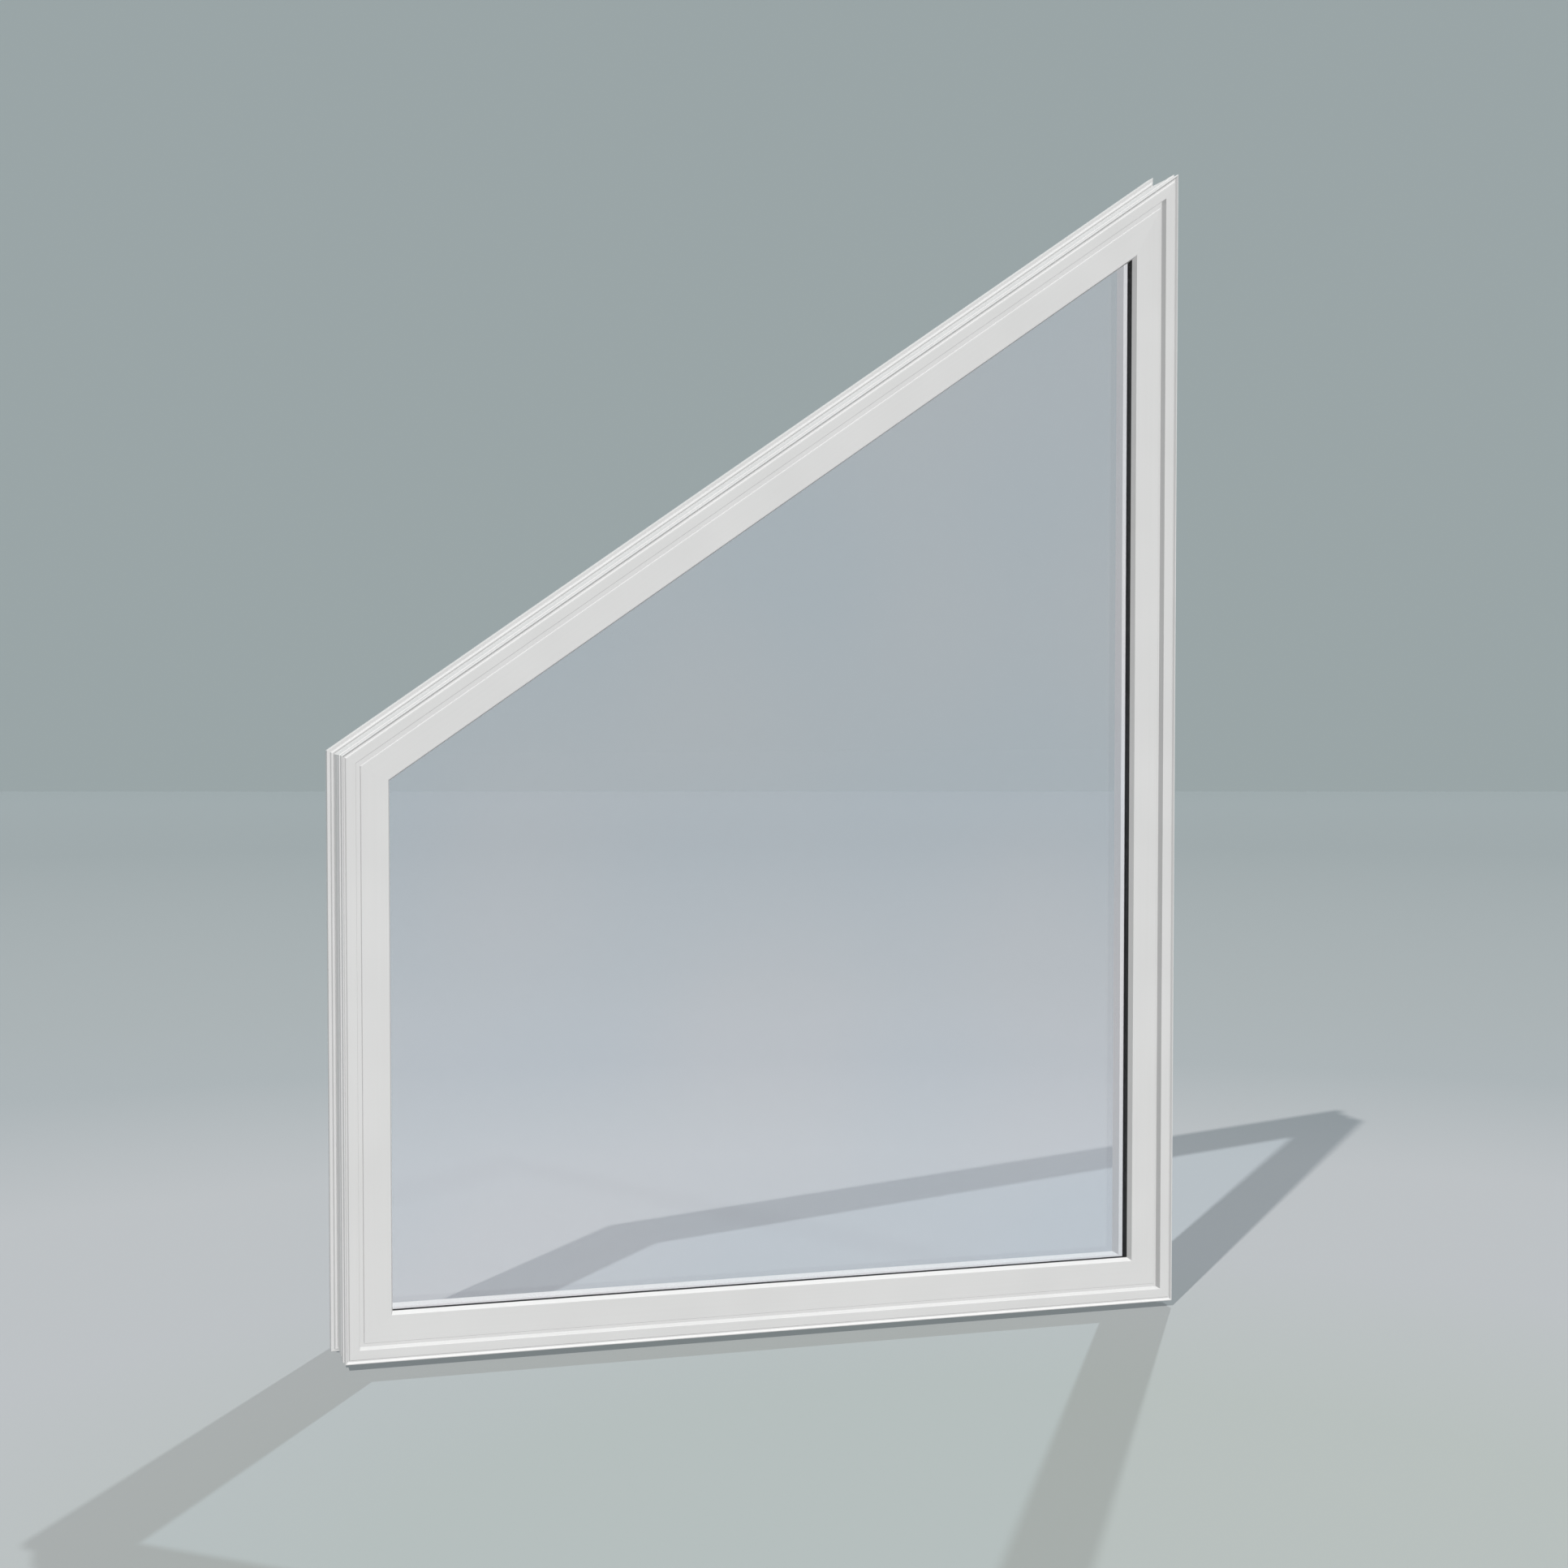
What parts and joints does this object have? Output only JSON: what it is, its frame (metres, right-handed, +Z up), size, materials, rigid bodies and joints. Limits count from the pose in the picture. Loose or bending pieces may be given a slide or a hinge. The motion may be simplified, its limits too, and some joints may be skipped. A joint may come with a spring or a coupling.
{
  "type": "trapezoid picture window",
  "caption": "Fixed trapezoid window with a raked head: ribbed white frame with a rear flange, sash, black gaskets and double glazing.",
  "frame": {"origin": "on the front face of the rear flange, in the middle of its sill member", "axes": "+X to the right seen from the front, +Y backwards through the wall, +Z up"},
  "size_m": [1.024, 0.105, 1.4033],
  "materials": {
    "white_vinyl": "smooth extruded white vinyl, satin gloss",
    "black_rubber": "matt black extruded rubber",
    "black_spacer": "matt black warm edge spacer",
    "clear_glass": "clear float glass with a faint blue tint"
  },
  "bodies": {
    "root": {"frame_sill": "white_vinyl", "frame_left_jamb": "white_vinyl", "frame_head": "white_vinyl", "frame_right_jamb": "white_vinyl", "flange_sill": "white_vinyl", "flange_left": "white_vinyl", "flange_head": "white_vinyl", "flange_right": "white_vinyl", "sash_bottom_rail": "white_vinyl", "sash_left_stile": "white_vinyl", "sash_top_rail": "white_vinyl", "sash_right_stile": "white_vinyl", "rear_bead_bottom": "white_vinyl", "rear_bead_left": "white_vinyl", "rear_bead_top": "white_vinyl", "rear_bead_right": "white_vinyl", "front_gasket_bottom": "black_rubber", "front_gasket_left": "black_rubber", "front_gasket_top": "black_rubber", "front_gasket_right": "black_rubber", "rear_gasket_bottom": "black_rubber", "rear_gasket_left": "black_rubber", "rear_gasket_top": "black_rubber", "rear_gasket_right": "black_rubber", "spacer_bottom": "black_spacer", "spacer_left": "black_spacer", "spacer_top": "black_spacer", "spacer_right": "black_spacer", "front_pane": "clear_glass", "rear_pane": "clear_glass"}
  },
  "joints": []
}
